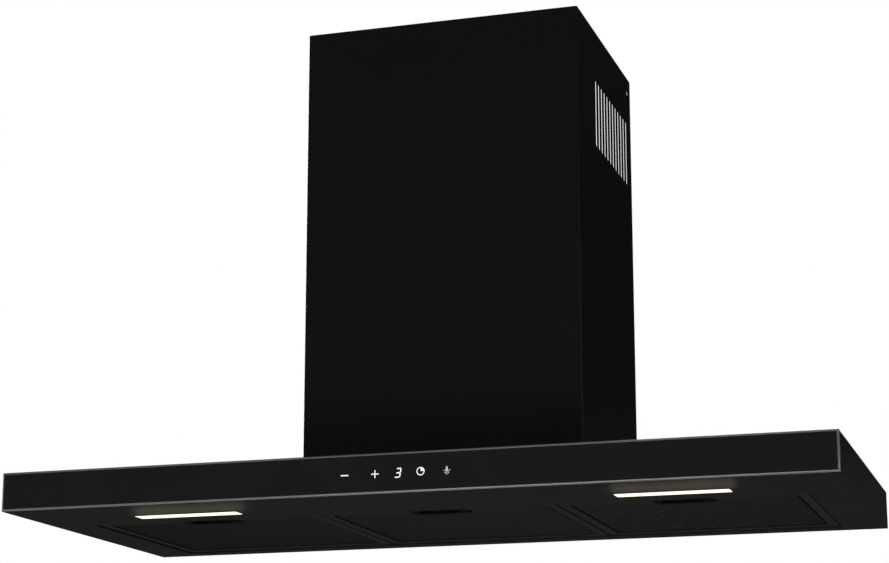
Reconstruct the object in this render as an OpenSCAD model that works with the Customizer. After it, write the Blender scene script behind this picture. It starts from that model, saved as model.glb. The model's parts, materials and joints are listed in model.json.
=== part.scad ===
// Wall-mounted chimney range hood with a black glass front. Millimetres.
// Origin: centre of the canopy's lower rear edge, on the wall plane.
// +Z is up, the wall is the plane Y = 0 and the front faces -Y.

/* [Canopy] */
// Width of the canopy
canopy_w = 898; // [720:1:1200]
// Depth of the canopy from the wall to the face of the glass
canopy_d = 420; // [400:1:520]
// Height of the canopy
canopy_h = 42; // [40:1:60]
// Sheet thickness of the canopy
canopy_sheet = 1.2; // [0.8:0.1:1.5]
// Thickness of the glass front
glass_t = 4; // [3:0.5:6]
// Width of the polished bevel round the glass
glass_bevel = 2.2; // [0.5:0.1:3]
// Thickness of the bonding tape behind the glass
tape_t = 0.8; // [0.5:0.1:1.5]

/* [Underside] */
// Depth of the plain strip between the glass face and the filters
front_strip = 130; // [120:1:150]
// Width of the plain margin at each end of the filters
side_margin = 48; // [30:1:80]
// Width of the plain margin between the filters and the wall
rear_margin = 25; // [20:1:40]
// Height of the upturned flange round the filter opening
flange_h = 14; // [13.5:0.5:16]
// Height of the stiffening rim round the panel
rim_h = 6; // [4:0.5:6.5]
// Width of the lip at the top of that flange
lip_w = 9; // [8:1:12]

/* [Lamps] */
// Length of each lit bar
lamp_l = 120; // [80:1:180]
// Width of each lit bar
lamp_w = 22; // [14:1:26]
// Distance of each lamp from the centre line
lamp_x = 268; // [200:1:280]
// Distance of the lamps behind the glass face
lamp_inset = 87; // [75:1:95]
// Depth of a lamp housing
lamp_h = 16; // [12:1:20]

/* [Filters] */
// Gap between filters and round them
filter_gap = 2; // [1.5:0.1:4]
// Thickness of a filter
filter_t = 9; // [8:0.5:9.5]
// Height of the filters' lower face above the underside
filter_recess = 1; // [0.5:0.1:1]
// Width of the filter's frame bars
filter_bar = 11; // [8:1:16]
// Radius of the rolled rear edge that the filter turns on
hem_r = 2.5; // [2:0.1:3]
// Radius of the wire in the rolled edge
wire_r = 1.5; // [1:0.1:1.6]
// Clearance of that wire in its hooks
wire_fit = 0.08; // [0.02:0.01:0.1]
// Travel of a filter latch
latch_travel = 7; // [6.5:0.1:8]

/* [Chimney] */
// Width of the chimney
chimney_w = 320; // [320:1:400]
// Depth of the chimney
chimney_d = 270; // [270:1:330]
// Height of the chimney's top edge above the underside
chimney_top = 565; // [540:1:900]
// Sheet thickness of the chimney
chimney_sheet = 0.8; // [0.6:0.1:1.2]
// Gap between the lower and the upper chimney
chimney_gap = 0.5; // [0.4:0.1:1.5]
// Length of the upper chimney
upper_len = 340; // [300:1:350]
// How far the upper chimney's top sits below the lower one's when it is slid down
upper_sink = 150; // [145:1:180]
// Number of vents in each side
vent_count = 12; // [6:1:14]
// Width of a vent
vent_w = 6.2; // [3:0.1:10]
// Length of a vent
vent_l = 80; // [40:1:110]
// Distance between vents
vent_pitch = 14.2; // [9:0.1:16]

/* [Blower] */
// Outer radius of the outlet collar
duct_r = 75; // [60:0.5:75]
// Height of the outlet collar above the blower box
collar_h = 60; // [50:1:80]
// Width of the blower box
box_w = 268; // [268:1:272]
// Depth of the blower box
box_d = 238; // [232:1:240]
// Height of the blower box
box_h = 258; // [254:1:280]
// Radius of the impeller
impeller_r = 70; // [60:1:70]
// Number of impeller blades
blade_count = 36; // [24:1:44]

/* [Fixings] */
// Radius of the wall fixing holes
wall_hole_r = 3.5; // [3:0.1:4.5]
// Distance between the wall fixing holes across the hood
wall_hole_dx = 200; // [160:1:220]
// Distance between the upper and the lower wall fixing holes
wall_hole_dz = 180; // [120:1:190]
// Radius of the side fixing hole near the chimney's top
side_hole_r = 3; // [2:0.1:3]

/* [Hidden] */
$fn = 48;
eps = 0.01;
SIDES = ["left", "centre", "right"];
PAIR = ["left", "right"];
function names(prefix, sides) = [for (s = sides) str(prefix, "_", s)];

black_steel = [0.07, 0.07, 0.075];
black_glass = [0.03, 0.03, 0.035];
black_plastic = [0.1, 0.1, 0.1];
black_alloy = [0.13, 0.13, 0.13];
zinc = [0.62, 0.63, 0.64];
lit_white = [0.98, 0.95, 0.86];
fit = 0.3;

// canopy
half_w = canopy_w / 2;
glass_y = -canopy_d;
tape_y = glass_y + glass_t;
shell_y = tape_y + tape_t;
top_z = canopy_h - canopy_sheet;
// filter opening
open_w = canopy_w - 2 * side_margin;
open_front = -(canopy_d - front_strip);
open_rear = -rear_margin;
open_d = open_rear - open_front;
open_y = (open_rear + open_front) / 2;
boss_r = 3.8;
boss_x = open_w / 2 - lip_w / 2;
boss_y = [open_front + lip_w / 2, open_y, open_rear - lip_w / 2];
boss_xy = [for (sx = [-1, 1], y = boss_y) [sx * boss_x, y]];
screw_r = 1.6;
// filters
filter_w = (open_w - 4 * filter_gap) / 3;
filter_front = open_front + filter_gap;
pivot_y = open_rear - filter_gap * 0.75 - hem_r;
pivot_z = filter_recess + hem_r;
bar_rear = pivot_y - hem_r - 1.5;
filter_z = filter_recess;
hook_w = 14;
hook_x = filter_w / 2 - 45;
hook_r = wire_r + wire_fit;
hook_wall = 1.2;
function filter_x(i) = (i - 1) * (filter_w + filter_gap);
// latches
cup_w = 62;
cup_d = 32;
cup_wall = 1.2;
cup_y = filter_front + 3 + cup_d / 2;
cup_h = filter_t - 0.8;
recess_w = 46;
finger_room = 16;
recess_d = finger_room + latch_travel;
tongue_w = 18;
tongue_t = 1.5;
tongue_room = 0.7;
tongue_z = filter_z + cup_h - cup_wall - tongue_room - tongue_t;
tongue_reach = 4;
tongue_tip = open_front - tongue_reach;
pad_t = 2.4;
pad_y = cup_y - recess_d / 2 + 9;
spring_wire = 0.5;
spring_floor = 1.4;
spring_room = 0.6;
spring_r = (cup_h - cup_wall - spring_floor) / 2 - spring_room;
spring_x = 26.5;
// lamps
lamp_y = glass_y + lamp_inset;
lens_r = 2;
// controls
control_w = 150;
control_h = 20;
control_z = canopy_h / 2;
// blower box and scroll
box_top = canopy_h + box_h;
box_t = 1;
duct_wall = 2;
bore_r = duct_r - duct_wall;
duct_y = -chimney_d / 2;
inlet_w = box_w - 24;
scroll_t = 2;
scroll_half = duct_r;
scroll_x = -36;
tongue_gap = 10;
scroll_r0 = impeller_r + tongue_gap;
scroll_r1 = duct_r + 1 - scroll_x;
scroll_angle = 75;
scroll_foot = 8;
function spiral_r(a) = scroll_r0 + (scroll_r1 - scroll_r0) * (a - scroll_angle) / (360 - scroll_angle);
scroll_z = canopy_h + scroll_foot + scroll_t + spiral_r(270);
inlet_r = impeller_r - 12;
port_h = 12;
// motor, turning about Y at (scroll_x, scroll_z)
shaft_r = 4;
shaft_fit = 0.05;
stator_r = 40;
stator_t = 28;
motor_y = duct_y + 38;
cap_t = 14;
core_r = 21;
impeller_half = scroll_half - 10;
bracket_y = duct_y + scroll_half + 6;
bearing_r = 9;
bearing_t = 8;
// flaps
flap_t = 1.5;
flap_pin_r = 1.5;
flap_pin_fit = 0.05;
flap_x = 5;
flap_z = box_top + duct_wall + 14;
// electronics
ebox_w = 180;
ebox_h = 110;
ebox_d = 22;
ebox_z = canopy_h + 40;
ebox_y = -box_d;
gland_r = 4.2;
gland_x = 70;
// chimney
hem_in = 2;
upper_hem = 2.5;
upper_off = chimney_sheet + chimney_gap;
lead_slot_y = -chimney_d + upper_off + chimney_sheet + 1;
lead_slot_d = -box_d - 10.1 - lead_slot_y;
vent_drop = 59;
vent_first = -26;
side_hole_y = -15;
side_hole_drop = 19;
bracket_t = 1.5;
bracket_h = 40;
bracket_ear = 24;
bracket_fit = 0.2;
bracket_hole_x = 60;
bracket_hole_step = 0.8;
rivet_r = 2;
rivet_dz = 14;

// ---- shared shapes ----

function unit(v) = v / norm(v);
function lead_point(p, i) = p[max(0, min(len(p) - 1, i))];
function curve_at(a, b, c, d, t) =
    0.5 * (2 * b + (c - a) * t + (2 * a - 5 * b + 4 * c - d) * t * t + (3 * b - a - 3 * c + d) * t * t * t);
function smooth_path(p, steps) = concat(
    [for (i = [0:len(p) - 2], k = [0:steps - 1])
        curve_at(lead_point(p, i - 1), p[i], p[i + 1], lead_point(p, i + 2), k / steps)],
    [p[len(p) - 1]]);
function slide_normal(n, t) = unit(n - (n * t) * t);

// a round lead or wire along a list of points
module sweep(path, r, sides) {
    last = len(path) - 1;
    t = [for (i = [0:last]) unit(lead_point(path, i + 1) - lead_point(path, i - 1))];
    start = unit(cross(t[0], abs(t[0][2]) < 0.8 ? [0, 0, 1] : [1, 0, 0]));
    n = [for (i = 0, v = start; i <= last; i = i + 1, v = slide_normal(v, t[min(i, last)])) v];
    points = [for (i = [0:last], k = [0:sides - 1])
        path[i] + r * (cos(k * 360 / sides) * n[i] + sin(k * 360 / sides) * cross(t[i], n[i]))];
    ends = [[for (k = [0:sides - 1]) k], [for (k = [0:sides - 1]) (last + 1) * sides - 1 - k]];
    walls = [for (i = [0:last - 1], k = [0:sides - 1]) let (a = i * sides, b = (k + 1) % sides)
        [a + k, a + sides + k, a + sides + b, a + b]];
    polyhedron(points, concat(ends, walls));
}

// a rectangle with round corners, centred
module round_rect(w, d, r) {
    square([w, d - 2 * r], center = true);
    square([w - 2 * r, d], center = true);
    for (sx = [-1, 1], sy = [-1, 1])
        translate([sx * (w / 2 - r), sy * (d / 2 - r)]) circle(r);
}

// a pan head screw; its head is below z = 0 and its shank points up
module screw(r, length, head_r, head_h) {
    difference() {
        union() {
            translate([0, 0, -head_h]) cylinder(r = head_r, h = head_h);
            translate([0, 0, -eps]) cylinder(r = r, h = length + eps);
        }
        for (a = [0, 90])
            rotate(a) translate([-head_r * 0.6, -0.4, -head_h - eps]) cube([head_r * 1.2, 0.8, head_h * 0.6]);
    }
}

// a slot with round ends that runs through a side wall along X
module side_slot(length, w, depth) {
    rotate([0, 90, 0]) linear_extrude(depth, center = true) {
        square([length - w, w], center = true);
        for (s = [-1, 1]) translate([s * (length - w) / 2, 0]) circle(w / 2);
    }
}

// ---- canopy ----

module canopy_shell() {
    depth = -shell_y;
    color(black_steel) difference() {
        union() {
            difference() {
                translate([-half_w, shell_y, 0]) cube([canopy_w, depth, canopy_h]);
                translate([-half_w + canopy_sheet, shell_y + canopy_sheet, -1])
                    cube([canopy_w - 2 * canopy_sheet, depth - 2 * canopy_sheet, top_z + 1]);
            }
            for (p = boss_xy)
                translate([p[0], p[1], flange_h + eps]) cylinder(r = boss_r, h = top_z - flange_h + 0.5);
        }
        // inlet to the blower
        translate([-inlet_w / 2, -box_d + 12, top_z - 1]) cube([inlet_w, box_d - 24, canopy_sheet + 2]);
        // way through for the leads, in front of the blower box
        translate([-40, lead_slot_y, top_z - 1]) cube([80, lead_slot_d, canopy_sheet + 2]);
        // window behind the glass for the touch controls
        translate([-control_w / 2 - fit, shell_y - 1, control_z - control_h / 2 - fit])
            cube([control_w + 2 * fit, canopy_sheet + 2, control_h + 2 * fit]);
        for (p = boss_xy) translate([p[0], p[1], flange_h - 1]) cylinder(r = screw_r, h = 13);
        for (p = box_screw_xy) translate([p[0], p[1], top_z - 1]) cylinder(r = screw_r, h = canopy_sheet + 2);
    }
}

// a hook that the filter's rear wire rests in, open to the top and front
module filter_hook() {
    rotate([90, 0, 90]) linear_extrude(hook_w, center = true) {
        difference() {
            circle(hook_r + hook_wall);
            circle(hook_r);
            translate([-10, 0.3]) square([10, 10]);
        }
        translate([hook_r + 0.1, -hook_wall]) square([open_rear - pivot_y - hook_r, 2 * hook_wall]);
    }
}

module underside_panel() {
    out_w = canopy_w - 2 * canopy_sheet - 0.4;
    out_front = shell_y + canopy_sheet + 0.2;
    out_rear = -canopy_sheet - 0.2;
    t = canopy_sheet;
    color(black_steel) {
        difference() {
            union() {
                translate([-out_w / 2, out_front, 0]) cube([out_w, out_rear - out_front, t]);
                translate([-open_w / 2 - t, open_front - t, 0]) cube([open_w + 2 * t, open_d + 2 * t, flange_h]);
                // stiffening flange along the outer edge
                difference() {
                    translate([-out_w / 2, out_front, 0]) cube([out_w, out_rear - out_front, rim_h]);
                    translate([-out_w / 2 + t, out_front + t, -1]) cube([out_w - 2 * t, out_rear - out_front - 2 * t, 10]);
                }
            }
            translate([-open_w / 2, open_front, -1]) cube([open_w, open_d, flange_h - t + 1]);
            translate([-open_w / 2 + lip_w, open_front + lip_w, -1])
                cube([open_w - 2 * lip_w, open_d - 2 * lip_w, flange_h + 2]);
            for (sx = [-1, 1]) translate([sx * lamp_x, lamp_y, -1])
                linear_extrude(t + 2) round_rect(lamp_l, lamp_w, lens_r);
            for (i = [0:2])
                translate([filter_x(i) - tongue_w / 2 - 1, open_front - t - 1, tongue_z - 0.6])
                    cube([tongue_w + 2, t + 2, tongue_t + 1.2]);
            for (p = boss_xy) translate([p[0], p[1], 0]) cylinder(r = screw_r + 0.4, h = flange_h + 1);
        }
        for (i = [0:2], s = [-1, 1]) translate([filter_x(i) + s * hook_x, pivot_y, pivot_z]) filter_hook();
    }
}

module panel_screws() {
    color(zinc) for (p = boss_xy)
        translate([p[0], p[1], flange_h - canopy_sheet]) screw(screw_r, 11, 3.2, 2);
}

// a pane with all its front edges bevelled, cut from two profiles
module glass_front() {
    b = glass_bevel;
    profile_z = [[b * 0.7, 0], [glass_t, 0], [glass_t, canopy_h], [b * 0.7, canopy_h],
                 [0, canopy_h - b], [0, b]];
    profile_x = [[-half_w, b * 0.7], [-half_w + b, 0], [half_w - b, 0], [half_w, b * 0.7],
                 [half_w, glass_t], [-half_w, glass_t]];
    color(black_glass) translate([0, glass_y, 0]) intersection() {
        rotate([90, 0, 90]) linear_extrude(canopy_w + 2, center = true) polygon(profile_z);
        translate([0, 0, -1]) linear_extrude(canopy_h + 2) polygon(profile_x);
    }
}

module glass_tape() {
    strip = 8;
    color([0.12, 0.12, 0.12]) for (z = [1.5, canopy_h - strip - 1.5])
        translate([-half_w + 6, tape_y, z]) cube([canopy_w - 12, tape_t, strip]);
}

// ---- controls ----

board_y = shell_y + 5;

module control_housing() {
    d = 20;
    w = control_w + 16;
    h = control_h + 8;
    y = shell_y + canopy_sheet + 0.1;
    color(black_plastic) difference() {
        translate([-w / 2, y, control_z - h / 2]) cube([w, d, h]);
        translate([-w / 2 + 2, y - 1, control_z - h / 2 + 2]) cube([w - 4, d - 1, h - 4]);
        // outlet for the ribbon lead
        translate([30, y + d - 3, control_z]) rotate([-90, 0, 0]) cylinder(r = 3, h = 6);
    }
}

module control_board() {
    color([0.05, 0.28, 0.13]) {
        translate([-control_w / 2 + 1, board_y, control_z - control_h / 2 + 1])
            cube([control_w - 2, 1.6, control_h - 2]);
        // touch sensor springs reach the back of the glass at the four keys
        for (x = [-56, -23, 26, 54]) translate([x, tape_y + 0.1, control_z]) rotate([-90, 0, 0])
            difference() {
                cylinder(r = 4.5, h = board_y - tape_y);
                translate([0, 0, -1]) cylinder(r = 3.5, h = 4);
            }
        translate([36, board_y + 1.5, control_z - 5]) cube([12, 6, 10]);
        translate([-30, board_y + 1.5, control_z - 4]) cube([8, 2, 8]);
    }
}

module digit_display() {
    color([0.85, 0.85, 0.85]) translate([2, tape_y + 0.1, control_z]) difference() {
        translate([-6.5, 0, -9]) cube([13, board_y - tape_y - 0.2, 18]);
        for (z = [-4.6, 0, 4.6]) translate([-2.5, -1, z - 0.5]) cube([5, 1.5, 1]);
    }
}

// ---- lamps ----

module lamp_housing(sx) {
    w = lamp_l + 14;
    d = lamp_w + 12;
    z = canopy_sheet + 0.05;
    color(black_plastic) translate([sx * lamp_x, lamp_y, z]) difference() {
        translate([-w / 2, -d / 2, 0]) cube([w, d, lamp_h]);
        translate([-w / 2 + 2, -d / 2 + 2, -1]) cube([w - 4, d - 4, lamp_h - 1]);
        translate([0, d / 2 - 3, lamp_h - 5]) rotate([-90, 0, 0]) cylinder(r = 2.6, h = 6);
    }
}

module lamp_diffuser(sx) {
    color(lit_white) translate([sx * lamp_x, lamp_y, 0.2]) {
        linear_extrude(canopy_sheet + 1) round_rect(lamp_l - 2 * fit, lamp_w - 2 * fit, lens_r - fit);
        translate([0, 0, canopy_sheet]) linear_extrude(2) round_rect(lamp_l + 8, lamp_w + 6, lens_r);
    }
}

module led_boards() {
    leds = 9;
    for (sx = [-1, 1]) translate([sx * lamp_x, lamp_y, canopy_sheet + lamp_h - 5]) {
        color([0.9, 0.9, 0.88]) translate([-lamp_l / 2 - 1, -lamp_w / 2 + 2, 0]) cube([lamp_l + 2, lamp_w - 4, 1.6]);
        color([0.95, 0.85, 0.4]) for (i = [0:leds - 1])
            translate([(i - (leds - 1) / 2) * lamp_l / leds - 1.5, -1.5, -0.8]) cube([3, 3, 0.9]);
    }
}

// ---- blower box, scroll and motor ----

box_screw_xy = [for (sx = [-1, 1], y = [-box_d + 30, -box_d / 2, -30]) [sx * (box_w / 2 + 5), y]];
collar_screw_r = duct_r + 9;
wall_hole_z = box_top - 24;

module blower_box() {
    color(zinc) difference() {
        union() {
            translate([-box_w / 2, -box_d, canopy_h]) cube([box_w, box_d, box_h]);
            translate([-box_w / 2 - 10, -box_d - 10, canopy_h]) cube([box_w + 20, box_d, box_t]);
        }
        translate([-box_w / 2 + box_t, -box_d + box_t, canopy_h - 1])
            cube([box_w - 2 * box_t, box_d - 2 * box_t, box_h - box_t + 1]);
        translate([0, duct_y, box_top - 5]) cylinder(r = bore_r, h = 10);
        // way up for the leads, in the front flange
        translate([-42, -box_d - 11, canopy_h - 1]) cube([84, 10, box_t + 2]);
        for (p = box_screw_xy) translate([p[0], p[1], canopy_h - 1]) cylinder(r = screw_r + 0.4, h = box_t + 2);
        for (a = [45:90:359]) translate([0, duct_y, 0]) rotate(a) translate([collar_screw_r, 0, box_top - 5])
            cylinder(r = screw_r, h = 10);
        for (sx = [-1, 1], dz = [0, wall_hole_dz])
            translate([sx * wall_hole_dx / 2, 1, wall_hole_z - dz]) rotate([90, 0, 0]) cylinder(r = wall_hole_r, h = 4);
        // grommet hole for the motor lead
        translate([110, -box_d - 1, canopy_h + box_h / 2]) rotate([-90, 0, 0]) cylinder(r = 3.5, h = 4);
    }
}

module box_screws() {
    color(zinc) for (p = box_screw_xy)
        translate([p[0], p[1], canopy_h + box_t]) rotate([180, 0, 0]) screw(screw_r, canopy_sheet + box_t + 4, 3.2, 2);
}

// outline of the air way inside the scroll, grown outwards by the wall
module scroll_outline(wall) {
    port_z = box_top - box_t - scroll_z;
    arc = [for (a = [scroll_angle:5:360]) (spiral_r(a) + wall) * [cos(a), sin(a)]];
    polygon(concat(
        [[-scroll_x - scroll_half + (wall > 0 ? -wall : 0), port_z]],
        arc,
        [[-scroll_x + duct_r + 1 + wall, port_z]]));
}

// one half of the scroll, from the middle plane outwards; side -1 is the front half
module scroll_half_shell(side) {
    color(black_plastic) difference() {
        union() {
            translate([scroll_x, duct_y, scroll_z]) rotate([90, 0, 0]) mirror([0, 0, side > 0 ? 1 : 0])
                difference() {
                    linear_extrude(scroll_half) scroll_outline(scroll_t);
                    translate([0, 0, -1]) linear_extrude(scroll_half - scroll_t + 1) scroll_outline(0);
                }
            // square flange that turns the way out into a round one
            translate([-scroll_half - 8, duct_y + (side > 0 ? 0 : -scroll_half), box_top - box_t - port_h])
                cube([2 * scroll_half + 16, scroll_half, port_h]);
        }
        translate([0, duct_y, box_top - box_t - port_h - 1]) cylinder(r = bore_r, h = port_h + 2);
        // mouth that the impeller draws from
        translate([scroll_x, duct_y, scroll_z]) rotate([side > 0 ? -90 : 90, 0, 0])
            translate([0, 0, scroll_half - scroll_t - 1]) cylinder(r = inlet_r, h = scroll_t + 2);
        for (a = [45:90:359]) translate([0, duct_y, 0]) rotate(a)
            translate([collar_screw_r, 0, box_top - port_h + 1]) cylinder(r = screw_r, h = port_h);
        if (side > 0) bracket_holes();
    }
}

module scroll_front() scroll_half_shell(-1);
module scroll_rear() scroll_half_shell(1);

bracket_pcd_r = inlet_r + 8;
bracket_angles = [90, 210, 330];
module bracket_holes() {
    for (a = bracket_angles) translate([scroll_x, duct_y + scroll_half - scroll_t - 1, scroll_z])
        rotate([-90, 0, 0]) rotate(a) translate([bracket_pcd_r, 0, 0]) cylinder(r = 2.2, h = scroll_t + 2);
}

// three-armed bracket behind the scroll that carries the motor
module motor_bracket() {
    color(zinc) translate([scroll_x, bracket_y, scroll_z]) rotate([-90, 0, 0]) difference() {
        union() {
            cylinder(r = stator_r - 8, h = 2);
            for (a = bracket_angles) rotate(a) {
                translate([0, -7, 0]) cube([bracket_pcd_r, 14, 2]);
                translate([bracket_pcd_r, 0, 0]) cylinder(r = 8, h = 2);
            }
        }
        translate([0, 0, -1]) cylinder(r = bearing_r + 4, h = 4);
        for (a = bracket_angles) rotate(a) translate([bracket_pcd_r, 0, -1]) cylinder(r = 3.2, h = 4);
    }
}

// rubber bushes between the bracket and the scroll, with their collars
module rubber_mounts() {
    foot = duct_y + scroll_half;
    color([0.05, 0.05, 0.05]) for (a = bracket_angles) translate([scroll_x, foot, scroll_z])
        rotate([-90, 0, 0]) rotate(a) translate([bracket_pcd_r, 0, 0]) {
            translate([0, 0, 0.02]) cylinder(r = 6, h = bracket_y - foot - 0.04);
            translate([0, 0, -scroll_t - 1]) cylinder(r = 2, h = scroll_t + 2);
            translate([0, 0, bracket_y - foot - 0.1]) cylinder(r = 3, h = 2.2);
            translate([0, 0, bracket_y - foot + 2.02]) cylinder(r = 6, h = 3);
        }
}

module at_motor(y) {
    translate([scroll_x, y, scroll_z]) rotate([-90, 0, 0]) children();
}

module motor_stator() {
    slots = 8;
    color([0.45, 0.45, 0.47]) at_motor(motor_y - stator_t / 2) difference() {
        cylinder(r = stator_r, h = stator_t);
        translate([0, 0, -1]) cylinder(r = core_r + 0.5, h = stator_t + 2);
        for (k = [0:slots - 1]) rotate(k * 360 / slots) translate([core_r + 7, 0, -1]) cylinder(r = 3.6, h = stator_t + 2);
    }
    // copper windings, standing proud of the laminations
    color([0.72, 0.4, 0.2]) for (k = [0:slots - 1]) at_motor(motor_y - stator_t / 2 - 3)
        rotate(k * 360 / slots) translate([core_r + 7, 0, 0]) cylinder(r = 3.2, h = stator_t + 6);
}

// two pressed end caps that hold the bearings
module motor_end_caps() {
    color(zinc) for (s = [-1, 1]) at_motor(motor_y) rotate([s > 0 ? 0 : 180, 0, 0])
        translate([0, 0, stator_t / 2 + 0.02]) difference() {
            cylinder(r = stator_r, h = cap_t);
            translate([0, 0, -1]) cylinder(r = stator_r - 2, h = cap_t - 2 + 1);
            translate([0, 0, -1]) cylinder(r = bearing_r, h = cap_t + 2);
            for (a = [30:60:359]) rotate(a) translate([stator_r - 10, 0, 0]) cylinder(r = 4, h = cap_t + 1);
        }
}

module motor_bearings() {
    color([0.7, 0.55, 0.3]) for (s = [-1, 1]) at_motor(motor_y) rotate([s > 0 ? 0 : 180, 0, 0])
        translate([0, 0, stator_t / 2 + cap_t - bearing_t + 1.5]) difference() {
            cylinder(r = bearing_r, h = bearing_t);
            translate([0, 0, -1]) cylinder(r = shaft_r + shaft_fit, h = bearing_t + 2);
        }
}

module motor_rotor() {
    shaft_start = duct_y - 14;
    shaft_end = motor_y + stator_t / 2 + cap_t + 6;
    color([0.55, 0.56, 0.58]) {
        at_motor(motor_y - stator_t / 2 + 1) cylinder(r = core_r, h = stator_t - 2);
        at_motor(shaft_start) cylinder(r = shaft_r, h = shaft_end - shaft_start);
    }
}

// double-sided drum with curved blades on a middle disc
module impeller() {
    ring = 2;
    inner = impeller_r - 12;
    color([0.2, 0.2, 0.21]) {
        at_motor(duct_y - 1) difference() {
            union() {
                cylinder(r = impeller_r - 1, h = 2);
                translate([0, 0, -10]) cylinder(r = 11, h = 14);
            }
            translate([0, 0, -20]) cylinder(r = shaft_r, h = 40);
        }
        for (y = [-impeller_half, impeller_half - ring]) at_motor(duct_y + y) difference() {
            cylinder(r = impeller_r, h = ring);
            translate([0, 0, -1]) cylinder(r = inner, h = ring + 2);
        }
        at_motor(duct_y - impeller_half + ring - eps) linear_extrude(2 * (impeller_half - ring) + 2 * eps)
            for (k = [0:blade_count - 1]) rotate(k * 360 / blade_count)
                polygon([[inner + 0.5, 0], [inner + 5, 1.6], [impeller_r - 0.8, 5.4],
                         [impeller_r - 0.8, 6.4], [inner + 5, 2.8], [inner + 0.5, 1.2]]);
    }
}

module run_capacitor() {
    color([0.85, 0.85, 0.83]) translate([-box_w / 2 + 24, -box_d + 22, box_top - 70]) {
        cylinder(r = 15, h = 55);
        translate([0, 0, 54]) cylinder(r = 4, h = 15);
    }
}

// ---- outlet ----

module outlet_collar() {
    ledge_gap = 12;
    color(black_plastic) translate([0, duct_y, box_top]) difference() {
        union() {
            cylinder(r = duct_r + 15, h = duct_wall);
            cylinder(r = duct_r, h = collar_h);
        }
        difference() {
            translate([0, 0, -1]) cylinder(r = bore_r, h = collar_h + 2);
            // ledge that the closed flaps lie over
            translate([0, 0, flap_z - box_top - 6]) difference() {
                cylinder(r = bore_r + 1, h = 3);
                translate([0, 0, -1]) cylinder(r = bore_r - 5, h = 5);
                translate([-ledge_gap, -duct_r, -1]) cube([2 * ledge_gap, 2 * duct_r, 5]);
            }
        }
        for (a = [45:90:359]) rotate(a) translate([collar_screw_r, 0, -1]) cylinder(r = screw_r + 0.4, h = duct_wall + 2);
        for (sx = [-1, 1]) translate([sx * flap_x, -duct_r - 1, flap_z - box_top]) rotate([-90, 0, 0])
            cylinder(r = flap_pin_r + flap_pin_fit, h = 2 * duct_r + 2);
    }
}

module collar_screws() {
    color(zinc) for (a = [45:90:359]) translate([0, duct_y, box_top + duct_wall]) rotate(a)
        translate([collar_screw_r, 0, 0]) rotate([180, 0, 0]) screw(screw_r, 12, 3.2, 2);
}

// half-round flap with a hinge rod along its straight side
module non_return_flap(sx) {
    r = bore_r - 0.8;
    color([0.25, 0.25, 0.25]) translate([0, duct_y, flap_z]) {
        intersection() {
            translate([0, 0, -flap_t / 2]) cylinder(r = r, h = flap_t);
            translate([sx > 0 ? 0.5 : -r - 0.5, -r, -5]) cube([r, 2 * r, 10]);
        }
        translate([sx * flap_x, -r + 1.5, 0]) rotate([-90, 0, 0]) cylinder(r = 2.2, h = 2 * r - 3);
        translate([sx * flap_x, -duct_r + 0.6, 0]) rotate([-90, 0, 0]) cylinder(r = flap_pin_r, h = 2 * duct_r - 1.2);
    }
}

// ---- electronics, on the front of the blower box ----

module electronics_box() {
    color(black_plastic) translate([-ebox_w / 2, ebox_y - ebox_d, ebox_z]) difference() {
        cube([ebox_w, ebox_d - 0.1, ebox_h]);
        translate([2, -1, 2]) cube([ebox_w - 4, ebox_d - 1.5, ebox_h - 4]);
        translate([ebox_w / 2 + gland_x, ebox_d / 2, ebox_h - 5]) cylinder(r = gland_r + 2, h = 10);
        for (x = [-10, 10]) translate([ebox_w / 2 + x, ebox_d / 2, -5]) cylinder(r = 2.8, h = 10);
        translate([ebox_w - 5, ebox_d / 2, box_h / 2 + canopy_h - ebox_z]) rotate([0, 90, 0]) cylinder(r = 2.8, h = 10);
    }
}

module electronics_lid() {
    color(black_plastic) translate([-ebox_w / 2, ebox_y - ebox_d - 2.05, ebox_z]) {
        cube([ebox_w, 2, ebox_h]);
        for (x = [20, ebox_w - 32]) translate([x, 1.9, 2.2]) cube([12, 5, 1.6]);
    }
}

module power_board() {
    y = ebox_y - 7;
    color([0.05, 0.3, 0.14]) {
        translate([-ebox_w / 2 + 6, y, ebox_z + 8]) cube([ebox_w - 60, 1.6, ebox_h - 16]);
        translate([-ebox_w / 2 + 16, y - 11, ebox_z + 40]) cube([34, 11.1, 30]);
        translate([-ebox_w / 2 + 66, y - 9, ebox_z + 50]) cube([16, 9.1, 20]);
        for (k = [0:2]) translate([-ebox_w / 2 + 20 + 24 * k, y + 0.1, ebox_z + 20]) rotate([90, 0, 0]) cylinder(r = 5, h = 10);
    }
}

module terminal_block() {
    color([0.9, 0.9, 0.88]) translate([ebox_w / 2 - 44, ebox_y - 15, ebox_z + 55]) difference() {
        cube([36, 12, 16]);
        for (k = [0:2]) translate([6 + 12 * k, -1, 8]) rotate([-90, 0, 0]) cylinder(r = 3, h = 7);
    }
}

module cable_gland() {
    color([0.08, 0.08, 0.08]) translate([gland_x, ebox_y - ebox_d / 2, ebox_z + ebox_h - 6]) difference() {
        union() {
            cylinder(r = gland_r + 1.9, h = 20);
            translate([0, 0, 6.05]) cylinder(r = gland_r + 4.5, h = 5, $fn = 6);
            translate([0, 0, 11]) cylinder(r = gland_r + 3.4, h = 9);
        }
        translate([0, 0, -1]) cylinder(r = gland_r, h = 22);
    }
}

// ---- leads ----

lead_z = canopy_h - 4;
lead_y = lead_slot_y + lead_slot_d / 2;

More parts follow.
